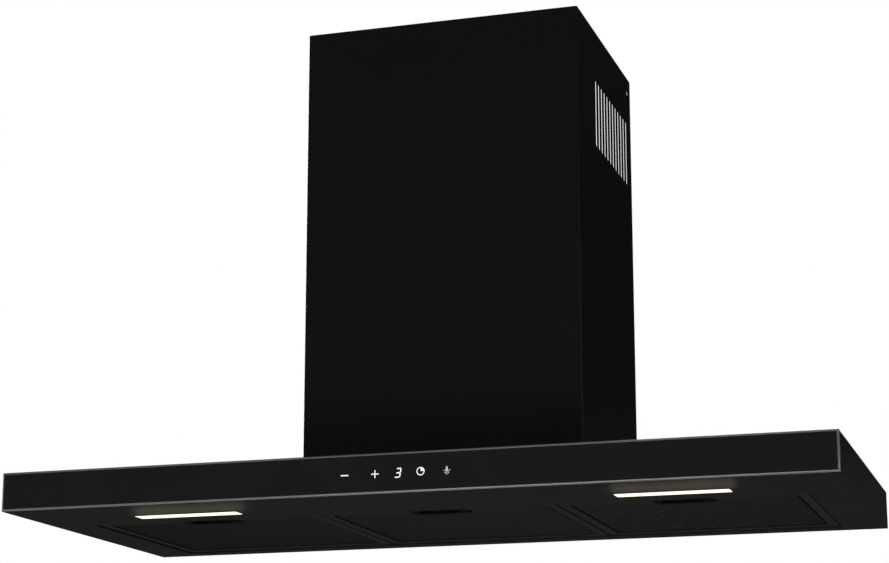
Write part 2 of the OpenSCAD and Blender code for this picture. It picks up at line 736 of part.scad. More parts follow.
module lamp_harness() {
    hz = canopy_sheet + lamp_h - 5;
    color([0.15, 0.15, 0.15]) for (s = [-1, 1]) {
        path = [[s * lamp_x, lamp_y + lamp_w / 2 + 2, hz], [s * lamp_x, lamp_y + lamp_w / 2 + 9, hz],
                [s * lamp_x, lamp_y + lamp_w / 2 + 15, hz + 5],
                [s * (lamp_x - 20), open_front - 8, lead_z - 3], [s * lamp_x / 2, open_front - 8, lead_z - 3],
                [s * 30, lead_y - 10, lead_z - 3], [s * 14, lead_y, canopy_h], [s * 10, lead_y + 3, canopy_h + 20],
                [s * 10, ebox_y - ebox_d / 2, ebox_z - 6], [s * 10, ebox_y - ebox_d / 2, ebox_z + 6]];
        sweep(smooth_path(path, 3), 2, 8);
    }
}

module control_lead() {
    cy = shell_y + canopy_sheet + 18;
    color([0.2, 0.2, 0.2]) sweep(smooth_path([[30, cy - 3, control_z], [30, cy + 10, control_z + 2],
        [26, cy + 40, lead_z - 2], [8, open_front, lead_z - 2], [0, lead_y - 14, lead_z - 2], [0, lead_y - 1, canopy_h],
        [0, lead_y + 2, canopy_h + 20], [0, ebox_y - ebox_d / 2, ebox_z - 2.5]], 3), 1.8, 8);
}

module motor_lead() {
    z = canopy_h + box_h / 2;
    ry = duct_y + scroll_half + 16;
    color([0.2, 0.2, 0.2]) sweep(smooth_path([[ebox_w / 2 - 3, ebox_y - ebox_d / 2, z], [ebox_w / 2 + 6, ebox_y - ebox_d / 2, z],
        [108, ebox_y - 8, z], [110, ebox_y + 6, z], [112, duct_y, z], [106, ry - 6, z], [80, ry + 4, z],
        [scroll_x + 70, ry, scroll_z], [scroll_x + 48, ry - 4, scroll_z], [scroll_x + 38, ry - 14, scroll_z],
        [scroll_x + 34, motor_y + stator_t / 2 + cap_t + 1.2, scroll_z]], 3), 2, 8);
}

// ---- chimney ----

// vents and the fixing hole in both side walls, placed down from a channel's top edge
module side_openings(top) {
    for (k = [0:vent_count - 1]) translate([0, vent_first - k * vent_pitch, top - vent_drop - vent_l / 2])
        side_slot(vent_l, vent_w, chimney_w + 2);
    translate([0, side_hole_y, top - side_hole_drop]) rotate([0, 90, 0])
        cylinder(r = side_hole_r, h = chimney_w + 2, center = true);
}

// channel open to the wall, with its rear edges turned in
module channel(w, rear, front, t, hem, z0, z1) {
    difference() {
        translate([-w / 2, front, z0]) cube([w, rear - front, z1 - z0]);
        translate([-w / 2 + t, front + t, z0 - 1]) cube([w - 2 * t, rear - front - 2 * t, z1 - z0 + 2]);
        translate([-w / 2 + t + hem, rear - t - 1, z0 - 1]) cube([w - 2 * (t + hem), t + 2, z1 - z0 + 2]);
    }
}

module lower_chimney() {
    color(black_steel) difference() {
        channel(chimney_w, 0, -chimney_d, chimney_sheet, hem_in, canopy_h + 0.02, chimney_top);
        side_openings(chimney_top);
    }
}

upper_top = chimney_top - upper_sink;
side_hole_z = upper_top - side_hole_drop;
upper_rear = -chimney_sheet - chimney_gap;
upper_front = -chimney_d + upper_off;

module upper_chimney() {
    color(black_steel) difference() {
        channel(chimney_w - 2 * upper_off, upper_rear, upper_front, chimney_sheet, upper_hem,
                upper_top - upper_len, upper_top);
        side_openings(upper_top);
        rivet_holes();
    }
}

module rivet_holes() {
    for (dz = [-rivet_dz, rivet_dz]) translate([0, side_hole_y, side_hole_z + dz]) rotate([0, 90, 0])
        cylinder(r = rivet_r + 0.05, h = chimney_w, center = true);
}

bracket_y1 = upper_rear - chimney_sheet;

// bar that is screwed to the wall and holds the upper chimney by its sides
module ceiling_bracket() {
    w = chimney_w - 2 * (upper_off + chimney_sheet + bracket_fit);
    h = bracket_h;
    color(zinc) difference() {
        union() {
            translate([-w / 2, bracket_y1 - bracket_t - 0.02, upper_top - h]) cube([w, bracket_t, h]);
            for (sx = [-1, 1]) translate([sx > 0 ? w / 2 - bracket_t : -w / 2, bracket_y1 - bracket_ear, upper_top - h])
                cube([bracket_t, bracket_ear - 0.02, h]);
        }
        translate([0, side_hole_y, side_hole_z]) rotate([0, 90, 0])
            cylinder(r = side_hole_r - bracket_hole_step, h = w + 2, center = true);
        rivet_holes();
        for (sx = [-1, 1]) translate([sx * bracket_hole_x, 1, upper_top - h / 2]) rotate([90, 0, 0])
            cylinder(r = wall_hole_r, h = 10);
    }
}

// flush rivets through the upper chimney's sides and the bracket's ears, headed inside
module bracket_rivets() {
    outside = chimney_w / 2 - upper_off;
    grip = chimney_sheet + bracket_fit + bracket_t;
    color(zinc) for (sx = [-1, 1], dz = [-rivet_dz, rivet_dz])
        translate([sx * outside, side_hole_y, side_hole_z + dz]) rotate([0, -90 * sx, 0]) {
            cylinder(r = rivet_r, h = grip + 1);
            translate([0, 0, grip + 0.05]) cylinder(r = rivet_r + 1.2, h = 1);
        }
}

// ---- filters, each with its latch ----

module filter_frame(i) {
    rear_pocket = hook_w + 4;
    color(black_alloy) translate([filter_x(i), 0, 0]) {
        difference() {
            union() {
                difference() {
                    translate([0, (filter_front + bar_rear) / 2, filter_z]) linear_extrude(filter_t)
                        round_rect(filter_w, bar_rear - filter_front, 4);
                    translate([0, (filter_front + bar_rear) / 2, filter_z - 1]) linear_extrude(filter_t + 2)
                        round_rect(filter_w - 2 * filter_bar, bar_rear - filter_front - 2 * filter_bar, 2);
                }
                // rolled rear edge
                translate([0, pivot_y, pivot_z]) rotate([0, 90, 0]) cylinder(r = hem_r, h = filter_w - 12, center = true);
                translate([-filter_w / 2 + 6, bar_rear - 2, filter_z]) cube([filter_w - 12, pivot_y - bar_rear + 2, 2 * hem_r]);
            }
            for (s = [-1, 1]) translate([s * hook_x - rear_pocket / 2, bar_rear, filter_z - 1])
                cube([rear_pocket, 12, filter_t + 2]);
            // seat for the latch cup, and the slot that its tongue leaves by
            translate([-cup_w / 2 - 0.1, cup_y - cup_d / 2 - 0.1, filter_z - 1]) cube([cup_w + 0.2, cup_d + 0.2, filter_t + 2]);
            translate([-tongue_w / 2 - 0.5, filter_front - 1, tongue_z - 0.4]) cube([tongue_w + 1, 20, tongue_t + 0.8]);
        }
        // the wire that runs through the rolled edge
        translate([0, pivot_y, pivot_z]) rotate([0, 90, 0]) cylinder(r = wire_r, h = filter_w - 14, center = true);
    }
}

module filter_mesh(i) {
    w = filter_w - 2 * filter_bar - 0.2;
    d = bar_rear - filter_front - 2 * filter_bar - 0.2;
    color([0.2, 0.2, 0.2]) translate([filter_x(i), 0, 0]) difference() {
        translate([0, (filter_front + bar_rear) / 2, filter_z + 1]) linear_extrude(filter_t - 2) round_rect(w, d, 1.9);
        translate([-cup_w / 2 - 0.1, cup_y - cup_d / 2 - 10, filter_z - 1]) cube([cup_w + 0.2, cup_d + 10.1, filter_t + 2]);
    }
}

module latch_cup(i) {
    color(black_plastic) translate([filter_x(i), cup_y, filter_z]) difference() {
        linear_extrude(cup_h) round_rect(cup_w, cup_d, 3);
        translate([0, 0, -1]) linear_extrude(cup_h - cup_wall + 1) round_rect(recess_w, recess_d, 8);
        // channel for the tongue
        translate([-tongue_w / 2 - 0.5, -cup_d, tongue_z - filter_z - 0.4]) cube([tongue_w + 1, cup_d, tongue_t + 0.8]);
        // pockets for the return springs' arms
        translate([-spring_x - 3, -3, spring_floor]) cube([2 * spring_x + 6, recess_d / 2 + 5, cup_h - cup_wall - spring_floor]);
    }
}

module latch_slide(i) {
    color([0.16, 0.16, 0.16]) translate([filter_x(i), 0, 0]) {
        translate([-tongue_w / 2, tongue_tip, tongue_z]) cube([tongue_w, pad_y - tongue_tip + pad_t, tongue_t]);
        // finger pad
        translate([-tongue_w / 2, pad_y, filter_z + 1]) cube([tongue_w, pad_t, tongue_z + tongue_t - filter_z - 1]);
        // arms that the springs push on
        translate([-spring_x - 2.5, pad_y, tongue_z - 0.9]) cube([2 * spring_x + 5, pad_t, tongue_t + 0.9]);
    }
}

module latch_spring(i) {
    y0 = pad_y + pad_t + spring_wire + 0.1;
    y1 = cup_y + recess_d / 2 + 2 - spring_wire - 0.1;
    turns = 4;
    steps = 12;
    z = filter_z + (spring_floor + cup_h - cup_wall) / 2;
    color(zinc) for (s = [-1, 1]) translate([filter_x(i) + s * spring_x, 0, z])
        sweep([for (k = [0:turns * steps]) [(spring_r - spring_wire) * cos(k * 360 / steps),
            y0 + (y1 - y0) * k / (turns * steps), (spring_r - spring_wire) * sin(k * 360 / steps)]], spring_wire, 6);
}

// two hooks that hang the blower box on the wall screws
module wall_hooks() {
    color(zinc) for (sx = [-1, 1]) translate([sx * wall_hole_dx / 2, 0, wall_hole_z]) difference() {
        translate([-14, -box_t - 2.05, -14]) cube([28, 2, 34]);
        translate([0, 1, 0]) rotate([90, 0, 0]) cylinder(r = wall_hole_r, h = 10);
    }
}

canopy_shell();
underside_panel();
panel_screws();
glass_front();
glass_tape();
control_housing();
control_board();
digit_display();
for (k = [0:1]) {
    lamp_housing(2 * k - 1);
    lamp_diffuser(2 * k - 1);
    non_return_flap(2 * k - 1);
}
led_boards();
blower_box();
box_screws();
scroll_front();
scroll_rear();
motor_bracket();
rubber_mounts();
motor_stator();
motor_end_caps();
motor_bearings();
run_capacitor();
electronics_box();
electronics_lid();
power_board();
terminal_block();
cable_gland();
outlet_collar();
collar_screws();
lower_chimney();
wall_hooks();
lamp_harness();
control_lead();
motor_lead();
for (i = [0:2]) {
    filter_frame(i);
    filter_mesh(i);
    latch_cup(i);
    latch_slide(i);
    latch_spring(i);
}
impeller();
motor_rotor();
upper_chimney();
ceiling_bracket();
bracket_rivets();
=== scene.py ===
import json
import math

import bmesh
import bpy
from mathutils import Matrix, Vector

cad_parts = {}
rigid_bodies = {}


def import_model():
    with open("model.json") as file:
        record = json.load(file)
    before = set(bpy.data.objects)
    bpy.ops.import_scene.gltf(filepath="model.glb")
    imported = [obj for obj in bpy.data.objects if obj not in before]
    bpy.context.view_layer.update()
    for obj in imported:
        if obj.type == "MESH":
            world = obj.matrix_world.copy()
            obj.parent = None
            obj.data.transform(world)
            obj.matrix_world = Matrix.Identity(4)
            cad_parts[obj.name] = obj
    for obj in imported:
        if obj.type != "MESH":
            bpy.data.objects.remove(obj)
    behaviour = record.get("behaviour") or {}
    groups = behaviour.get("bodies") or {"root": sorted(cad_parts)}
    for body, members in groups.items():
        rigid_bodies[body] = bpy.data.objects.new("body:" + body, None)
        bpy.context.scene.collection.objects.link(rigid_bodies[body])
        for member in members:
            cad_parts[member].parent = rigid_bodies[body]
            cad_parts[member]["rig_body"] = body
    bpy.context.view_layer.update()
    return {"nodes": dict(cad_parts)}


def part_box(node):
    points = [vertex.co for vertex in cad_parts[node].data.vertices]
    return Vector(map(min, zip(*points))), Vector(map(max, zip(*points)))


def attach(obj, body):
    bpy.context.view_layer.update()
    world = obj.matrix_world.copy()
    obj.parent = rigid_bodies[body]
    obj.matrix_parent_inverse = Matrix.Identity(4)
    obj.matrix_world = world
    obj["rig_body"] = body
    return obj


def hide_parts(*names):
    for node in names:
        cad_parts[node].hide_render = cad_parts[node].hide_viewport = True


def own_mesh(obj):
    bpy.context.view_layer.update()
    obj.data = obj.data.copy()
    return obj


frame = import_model()


# ---- camera ----
# It stands low, two and a half metres out and a little to the right, and looks up at the hood.
azimuth, pitch = math.radians(17.311), math.radians(13.318)
camera = bpy.data.objects.new("camera", bpy.data.cameras.new("camera"))
bpy.context.scene.collection.objects.link(camera)
bpy.context.scene.camera = camera
camera.data.sensor_width = 36
camera.data.lens = 88.10
camera.data.shift_y = 0.0405
camera.location = (0.7002, -2.5012, -0.3364)
camera.rotation_euler = (math.pi / 2 + pitch, 0, azimuth)


# ---- room ----
# A pale floor a metre and a half below the hood and a white surround, which the camera sees, while
# they light the hood only dimly, so that black stays black. Large soft lamps shape its edges.
def lin(code):
    """An sRGB hex colour as the linear RGBA that a socket takes."""
    parts = [int(code[i:i + 2], 16) / 255 for i in (1, 3, 5)]
    return [c / 12.92 if c <= 0.04045 else ((c + 0.055) / 1.055) ** 2.4 for c in parts] + [1]


def add(tree, kind, inputs=None, to=None, out=0, **settings):
    """Adds a node with its settings. An input is a value, or another node's output to link;
    to is the socket that this node's output number out goes to."""
    made = tree.nodes.new(kind)
    for name, value in settings.items():
        setattr(made, name, value)
    for name, value in (inputs or {}).items():
        if isinstance(value, bpy.types.NodeSocket):
            tree.links.new(value, made.inputs[name])
        else:
            made.inputs[name].default_value = value
    if to:
        tree.links.new(made.outputs[out], to)
    return made


def surface(name, settings):
    """Starts a material whose shader has these settings.
    Gives the material, its node tree, its shader and the Object coordinates."""
    made = bpy.data.materials.new(name)
    made.use_nodes = True
    shader = made.node_tree.nodes["Principled BSDF"]
    for socket, value in settings.items():
        shader.inputs[socket].default_value = value
    return made, made.node_tree, shader, add(made.node_tree, "ShaderNodeTexCoord").outputs["Object"]


# pale painted screed: matt, with faint cloudy patches a hand across; it is dim in reflections
screed, tree, shader, where = surface("painted_screed", {"Roughness": 0.9, "Specular IOR Level": 0.0})
clouds = add(tree, "ShaderNodeTexNoise", {"Vector": where, "Scale": 1 / 0.2, "Detail": 3.0})
direct = add(tree, "ShaderNodeLightPath").outputs["Is Camera Ray"]
pale = add(tree, "ShaderNodeMix", {0: clouds.outputs[0], 6: lin("#e4e2de"), 7: lin("#efedea")},
           data_type="RGBA")
add(tree, "ShaderNodeMix", {0: direct, 6: lin("#5c5b59"), 7: pale.outputs[2]},
    shader.inputs["Base Color"], 2, data_type="RGBA")
add(tree, "ShaderNodeMix", {0: direct, 6: lin("#424242"), 7: pale.outputs[2]},
    shader.inputs["Emission Color"], 2, data_type="RGBA")
shader.inputs["Emission Strength"].default_value = 0.8

FLOOR_Z, FLOOR_REACH = -1.5, 30
floor_mesh = bpy.data.meshes.new("floor")
floor_mesh.from_pydata([(x * FLOOR_REACH, y * FLOOR_REACH, FLOOR_Z)
                        for x, y in ((-1, -1), (1, -1), (1, 1), (-1, 1))], [], [(0, 1, 2, 3)])
floor_mesh.materials.append(screed)
floor = bpy.data.objects.new("floor", floor_mesh)
bpy.context.scene.collection.objects.link(floor)

world = bpy.data.worlds.new("studio")
world.use_nodes = True
bpy.context.scene.world = world
bpy.context.scene.view_settings.view_transform = "Standard"
tree = world.node_tree
seen = add(tree, "ShaderNodeBackground", {"Color": lin("#ffffff"), "Strength": 1.0})
# the surround is brighter in front of the hood than behind it
facing = add(tree, "ShaderNodeSeparateXYZ", {0: add(tree, "ShaderNodeTexCoord").outputs["Generated"]})
front_back = add(tree, "ShaderNodeMapRange", {"Value": facing.outputs[1], "From Min": -0.9,
                                              "From Max": 0.5, "To Min": 0.2, "To Max": 0.007})
dim = add(tree, "ShaderNodeBackground", {"Color": lin("#f8f9fb"), "Strength": front_back.outputs[0]})
add(tree, "ShaderNodeMixShader", {0: add(tree, "ShaderNodeLightPath").outputs["Is Camera Ray"],
                                  1: dim.outputs[0], 2: seen.outputs[0]},
    tree.nodes["World Output"].inputs[0])

for name, spot, size, watts, code in (("soft_low", (-0.3, -2.2, -1.2), 1.2, 24, "#fffdf8"),
                                      ("soft_right", (2.4, -1.4, 0.7), 1.2, 5, "#ffffff"),
                                      ("soft_top", (0.3, 0.9, 2.6), 1.6, 40, "#ffffff"),
                                      ("soft_rear", (-1.8, 2.2, 1.2), 1.6, 90, "#f4f8ff"),
                                      ("soft_behind", (0.95, 2.6, 0.2), 0.7, 0.12, "#ffffff"),
                                      ("soft_side", (2.6, 1.6, 0.9), 1.2, 1.2, "#ffffff")):
    lamp = bpy.data.objects.new(name, bpy.data.lights.new(name, "AREA"))
    bpy.context.scene.collection.objects.link(lamp)
    lamp.data.size = size
    lamp.data.energy = watts
    lamp.data.color = lin(code)[:3]
    lamp.location = spot
    lamp.visible_camera = False
    lamp.rotation_euler = (Vector((0, -0.2, 0.2)) - Vector(spot)).to_track_quat("-Z", "Y").to_euler()


# ---- canopy shell ----
# The outer tray of the canopy: 1.2 mm steel, folded up from one blank, welded at the corners,
# ground smooth and powder-coated black. It hangs under the blower box on six screws.
SAME_POINT = 2e-6
CREASE = math.radians(30)
SQUARE_ENOUGH = 1.0


def finished(node, edge, look, bends=(), pick=None, crisp=False):
    """A CAD node as a finished piece, which stands for the node. Its bends (test, radius) and then its
    other edges are rounded. pick gives a face's place in the list of materials; crisp keeps creases."""
    mesh = frame["nodes"][node].data.copy()
    shape = bmesh.new()
    shape.from_mesh(mesh)
    bmesh.ops.remove_doubles(shape, verts=shape.verts, dist=SAME_POINT)
    bmesh.ops.dissolve_degenerate(shape, edges=shape.edges, dist=SAME_POINT)
    for test, radius in bends:
        picked = [e for e in shape.edges if len(e.link_faces) == 2
                  and e.calc_face_angle(0) > SQUARE_ENOUGH
                  and test((e.verts[0].co + e.verts[1].co) / 2, e.verts[1].co - e.verts[0].co)]
        bmesh.ops.bevel(shape, geom=picked, offset=radius, segments=5, profile=0.5, affect="EDGES",
                        clamp_overlap=False)
    for face in shape.faces:
        face.smooth = True
    shape.to_mesh(mesh)
    shape.free()
    if crisp:
        mesh.set_sharp_from_angle(angle=CREASE)
    rough = bpy.data.objects.new(node + ".rough", mesh)
    bpy.context.scene.collection.objects.link(rough)
    if edge:
        rounding = rough.modifiers.new("edges", "BEVEL")
        rounding.width = edge
        rounding.segments = 2
        rounding.limit_method = "ANGLE"
        rounding.angle_limit = CREASE
        rounding.use_clamp_overlap = True
    rough.modifiers.new("normals", "WEIGHTED_NORMAL").keep_sharp = True
    piece = settled(rough, node + ".piece")
    piece.data.materials.clear()
    for one in look if isinstance(look, list) else [look]:
        piece.data.materials.append(one)
    for face in piece.data.polygons:
        face.material_index = pick(face.center, face.normal) if pick else 0
    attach(piece, frame["nodes"][node]["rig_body"])
    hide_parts(node)
    return piece


def settled(rough, name):
    """The object with its modifiers applied, as a new plain mesh object; the rough one goes."""
    graph = bpy.context.evaluated_depsgraph_get()
    mesh = bpy.data.meshes.new_from_object(rough.evaluated_get(graph), preserve_all_data_layers=True,
                                           depsgraph=graph)
    mesh.name = name
    piece = bpy.data.objects.new(name, mesh)
    bpy.context.scene.collection.objects.link(piece)
    bpy.data.objects.remove(rough)
    return piece


# powder coat on steel: a satin black skin with a slight orange peel, about 2 mm from dimple to dimple
powder_coat, tree, shader, where = surface("black_powder_coat", {"IOR": 1.5, "Specular IOR Level": 0.28})
peel = add(tree, "ShaderNodeTexNoise", {"Vector": where, "Scale": 1 / 0.002, "Detail": 1.5})
handled = add(tree, "ShaderNodeTexNoise", {"Vector": where, "Scale": 1 / 0.07, "Detail": 4.0})
add(tree, "ShaderNodeMapRange", {"Value": handled.outputs[0], "From Min": 0.3, "From Max": 0.7,
                                 "To Min": 0.38, "To Max": 0.42}, shader.inputs["Roughness"])
add(tree, "ShaderNodeMix", {0: handled.outputs[0], 6: lin("#0a0a0a"), 7: lin("#0c0c0c")},
    shader.inputs["Base Color"], 2, data_type="RGBA")
add(tree, "ShaderNodeBump", {"Height": peel.outputs[0], "Strength": 0.25, "Distance": 0.00003},
    shader.inputs["Normal"])

low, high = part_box("canopy_shell")
CORNER = 0.0012
IN_PLANE = 1e-5


def outer_corner(at, along):
    """The tray's outer edges, along its sides, top and rear."""
    on_side = abs(abs(at.x) - high.x) < IN_PLANE
    on_end = abs(at.y - low.y) < IN_PLANE or abs(at.y - high.y) < IN_PLANE
    on_top = abs(at.z - high.z) < IN_PLANE
    return on_side + on_end + on_top == 2 and at.z > 0.001


finished("canopy_shell", 0.0003, powder_coat, [(outer_corner, CORNER)])


# ---- underside panel ----
# The tray's floor: one powder-coated pressing with an upturned flange round the filter opening and
# six hooks for the filters' rear wires. Six zinc-plated pan-head screws hold it to the shell.
finished("underside_panel", 0.0003, powder_coat)

# bright zinc plate: bluish grey and fairly smooth, with cloudy blotches a few millimetres wide
zinc_plate, tree, shader, where = surface("zinc_plated_steel", {"Metallic": 1.0})
blotches = add(tree, "ShaderNodeTexNoise", {"Vector": where, "Scale": 1 / 0.008, "Detail": 3.0})
add(tree, "ShaderNodeMapRange", {"Value": blotches.outputs[0], "From Min": 0.3, "From Max": 0.7,
                                 "To Min": 0.3, "To Max": 0.37}, shader.inputs["Roughness"])
add(tree, "ShaderNodeMix", {0: blotches.outputs[0], 6: lin("#b0b4b7"), 7: lin("#bfc3c6")},
    shader.inputs["Base Color"], 2, data_type="RGBA")
finished("panel_screws", 0.0002, zinc_plate)


# ---- glass front ----
# A 4 mm pane of clear glass, printed black on its back and polished to a bevel all round. Two strips
# of black foam tape bond it to the shell. The five marks are left clear in the print, and lit behind.

# back-printed glass: deep black under a mirror-smooth face, with a very faint roller wave
black_glass, tree, shader, where = surface("back_printed_black_glass", {"IOR": 1.52})
wave = add(tree, "ShaderNodeTexNoise", {"Vector": where, "Scale": 1 / 0.05, "Detail": 2.0})
add(tree, "ShaderNodeMapRange", {"Value": wave.outputs[0], "From Min": 0.3, "From Max": 0.7,
                                 "To Min": 0.05, "To Max": 0.09}, shader.inputs["Roughness"])
add(tree, "ShaderNodeMix", {0: wave.outputs[0], 6: lin("#0c0c0d"), 7: lin("#111112")},
    shader.inputs["Base Color"], 2, data_type="RGBA")

# ground and polished bevel, with fine grinding marks: its grey colour is a painted highlight, painted in
# for the light that comes out of the pane's rim
glass_bevel_painted_highlight, tree, shader, where = surface("polished_glass_bevel_painted_highlight", {"IOR": 1.52})
stretch = add(tree, "ShaderNodeMapping", {"Vector": where, "Scale": (1 / 0.03, 1 / 0.0006, 1 / 0.0006)})
marks = add(tree, "ShaderNodeTexNoise", {"Vector": stretch.outputs[0], "Scale": 1.0, "Detail": 2.0})
add(tree, "ShaderNodeMapRange", {"Value": marks.outputs[0], "From Min": 0.3, "From Max": 0.7,
                                 "To Min": 0.12, "To Max": 0.24}, shader.inputs["Roughness"])
# the bevel's grey is painted highlight, a little lighter or darker along the grinding marks
add(tree, "ShaderNodeMix", {0: marks.outputs[0], 6: lin("#7e8281"), 7: lin("#919594")},
    shader.inputs["Base Color"], 2, data_type="RGBA")

# the faces that slope towards the front are the bevel; the front face sinks a little into the marks
low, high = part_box("glass_front")
pane = finished("glass_front", 0, [black_glass, glass_bevel_painted_highlight],
                pick=lambda at, n: int(n.y > -0.99 and n.y < -0.1))
PRINT_DEPTH = 0.00008
for corner in pane.data.vertices:
    if corner.co.y < low.y + SAME_POINT:
        corner.co.y += PRINT_DEPTH

# closed-cell foam: dull black with millimetre pores
foam, tree, shader, where = surface("black_foam_tape", {"Roughness": 0.95, "Specular IOR Level": 0.2})
pores = add(tree, "ShaderNodeTexVoronoi", {"Vector": where, "Scale": 1 / 0.0008})
add(tree, "ShaderNodeMix", {0: pores.outputs[0], 6: lin("#141414"), 7: lin("#232323")},
    shader.inputs["Base Color"], 2, data_type="RGBA")
add(tree, "ShaderNodeBump", {"Height": pores.outputs[0], "Strength": 0.5, "Distance": 0.0002},
    shader.inputs["Normal"])
finished("glass_tape", 0.0002, foam)

# lit marks: white light through clear windows in the print, slightly uneven
lit_mark, tree, shader, where = surface("lit_mark", {"Base Color": lin("#d8dce0"), "Roughness": 0.3,
                                                     "Emission Strength": 0.75})
uneven = add(tree, "ShaderNodeTexNoise", {"Vector": where, "Scale": 1 / 0.004})
add(tree, "ShaderNodeMix", {0: uneven.outputs[0], 6: lin("#e2e6ea"), 7: lin("#ffffff")},
    shader.inputs["Emission Color"], 2, data_type="RGBA")
dim_mark = lit_mark.copy()
dim_mark.name = "lit_mark_dim"
dim_mark.node_tree.nodes["Principled BSDF"].inputs["Emission Strength"].default_value = 0.3

middle_z = (low.z + high.z) / 2


def bar(x0, z0, x1, z1, wide):
    """Corners of a straight stroke between two points, in millimetres."""
    along = Vector((x1 - x0, z1 - z0)).normalized() * wide / 2
    side = Vector((-along.y, along.x))
    return [Vector(p) + o for p, o in (((x0, z0), side - along), ((x1, z1), side + along),
                                       ((x1, z1), along - side), ((x0, z0), -side - along))]


def arc(radius, first, last, steps):
    """Points on a circle about the origin, from one angle to another, in degrees."""
    return [Vector((radius * math.cos(math.radians(first + (last - first) * k / steps)),
                    radius * math.sin(math.radians(first + (last - first) * k / steps))))
            for k in range(steps + 1)]


def mark(name, x, look, strokes, lean=0):
    """One lit mark: its strokes, millimetres from its middle, as thin plates on the face of the glass."""
    shape = bmesh.new()
    for stroke in strokes:
        flat = [Vector(((x + p[0] + p[1] * lean) / 1000, low.y, middle_z + p[1] / 1000)) for p in stroke]
        front = [shape.verts.new(p) for p in flat]
        back = [shape.verts.new(p + Vector((0, PRINT_DEPTH * 2, 0))) for p in flat]
        count = len(flat)
        shape.faces.new(front)
        shape.faces.new(back[::-1])
        for k in range(count):
            shape.faces.new((front[k], back[k], back[(k + 1) % count], front[(k + 1) % count]))
    bmesh.ops.recalc_face_normals(shape, faces=shape.faces)
    mesh = bpy.data.meshes.new(name)
    shape.to_mesh(mesh)
    shape.free()
    mesh.materials.append(look)
    piece = bpy.data.objects.new(name, mesh)
    bpy.context.scene.collection.objects.link(piece)
    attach(piece, "root")


ring_out, ring_in = arc(4.35, 0, 360, 32), arc(3.35, 0, 360, 32)
ring = [[ring_out[k], ring_out[k + 1], ring_in[k + 1], ring_in[k]] for k in range(32)]
mark("mark_minus", -56, lit_mark, [bar(-3.5, -0.7, 3.5, -0.7, 1.3)])
mark("mark_plus", -23, lit_mark, [bar(-3.5, -0.7, 3.5, -0.7, 1.1), bar(0, -4.3, 0, -1.8, 1.1),
                                  bar(0, 0.4, 0, 2.9, 1.1)])
mark("mark_digit", 2, lit_mark, [bar(-1.4, 3.9, 1.5, 3.9, 1.3), bar(-1.1, -0.6, 1.5, -0.6, 1.3),
                                 bar(-1.9, -5.0, 1.5, -5.0, 1.3), bar(2.5, 3.0, 2.5, 0.4, 1.3),
                                 bar(2.5, -1.5, 2.5, -4.1, 1.3)], lean=0.2)
mark("mark_timer", 26, lit_mark, ring + [[Vector((0.1, 0.1))] + arc(3.3, 2, 88, 10)])
mark("mark_lamp", 54, dim_mark, [
    [Vector((-0.9, 3.7)), Vector((-0.9, 2.0)), Vector((-1.8, -1.0)), Vector((1.8, -1.0)),
     Vector((0.9, 2.0)), Vector((0.9, 3.7))],
    bar(0, -2.0, 0, -4.4, 0.8), bar(-1.4, -1.9, -2.1, -3.2, 0.7), bar(1.4, -1.9, 2.1, -3.2, 0.7),
    bar(-2.3, -0.1, -3.6, -0.4, 0.6), bar(2.3, -0.1, 3.6, -0.4, 0.6)])


# ---- controls behind the glass ----
# A moulded tray clipped behind the pane holds a touch board; its four coil-spring pads press on the
# glass under the keys, and a small display for the digit stands between them.

# moulded ABS: black, spark-eroded, so it looks evenly matt; the grain is drawn coarser than life
black_abs, tree, shader, where = surface("moulded_black_abs", {"IOR": 1.53, "Specular IOR Level": 0.4})
grain = add(tree, "ShaderNodeTexNoise", {"Vector": where, "Scale": 1 / 0.0006, "Detail": 2.0})
add(tree, "ShaderNodeMapRange", {"Value": grain.outputs[0], "To Min": 0.48, "To Max": 0.6},
    shader.inputs["Roughness"])
add(tree, "ShaderNodeMix", {0: grain.outputs[0], 6: lin("#101011"), 7: lin("#18181a")},
    shader.inputs["Base Color"], 2, data_type="RGBA")
add(tree, "ShaderNodeBump", {"Height": grain.outputs[0], "Strength": 0.35, "Distance": 0.00006},
    shader.inputs["Normal"])
finished("control_housing", 0.0004, black_abs)

# solder mask on a glass-fibre board: glossy green with a fine pattern of paler copper tracks
board, tree, shader, where = surface("green_solder_mask", {"Roughness": 0.3, "IOR": 1.5})
add(tree, "ShaderNodeTexBrick", {"Vector": where, "Color1": lin("#0f4a26"), "Color2": lin("#12552c"),
                                 "Mortar": lin("#2c7a45"), "Scale": 1 / 0.0025, "Mortar Size": 0.09},
    shader.inputs["Base Color"])
# moulded component bodies: dark epoxy, a little dusty
epoxy, tree, shader, where = surface("epoxy_component", {"Roughness": 0.55})
dust = add(tree, "ShaderNodeTexNoise", {"Vector": where, "Scale": 1 / 0.003})
add(tree, "ShaderNodeMix", {0: dust.outputs[0], 6: lin("#1b1b1e"), 7: lin("#34343a")},
    shader.inputs["Base Color"], 2, data_type="RGBA")
low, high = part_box("control_board")
PADS, PARTS = 0.006, 0.003
finished("control_board", 0.0001, [board, epoxy],
         pick=lambda at, n: int(at.y < low.y + PADS or at.y > high.y - PARTS))

# display body: light grey polycarbonate with a soft, slightly mottled finish
display_body, tree, shader, where = surface("display_polycarbonate", {"Roughness": 0.4, "IOR": 1.58})
mottle = add(tree, "ShaderNodeTexNoise", {"Vector": where, "Scale": 1 / 0.002})
add(tree, "ShaderNodeMix", {0: mottle.outputs[0], 6: lin("#c2c2c0"), 7: lin("#d8d8d6")},
    shader.inputs["Base Color"], 2, data_type="RGBA")
finished("digit_display", 0.0002, display_body)


# ---- lamps ----
# Two strip lamps, each an opal diffuser that drops into a slot in the panel from above, an ABS
# housing screwed over it, and a white-masked strip of nine light-emitting diodes.

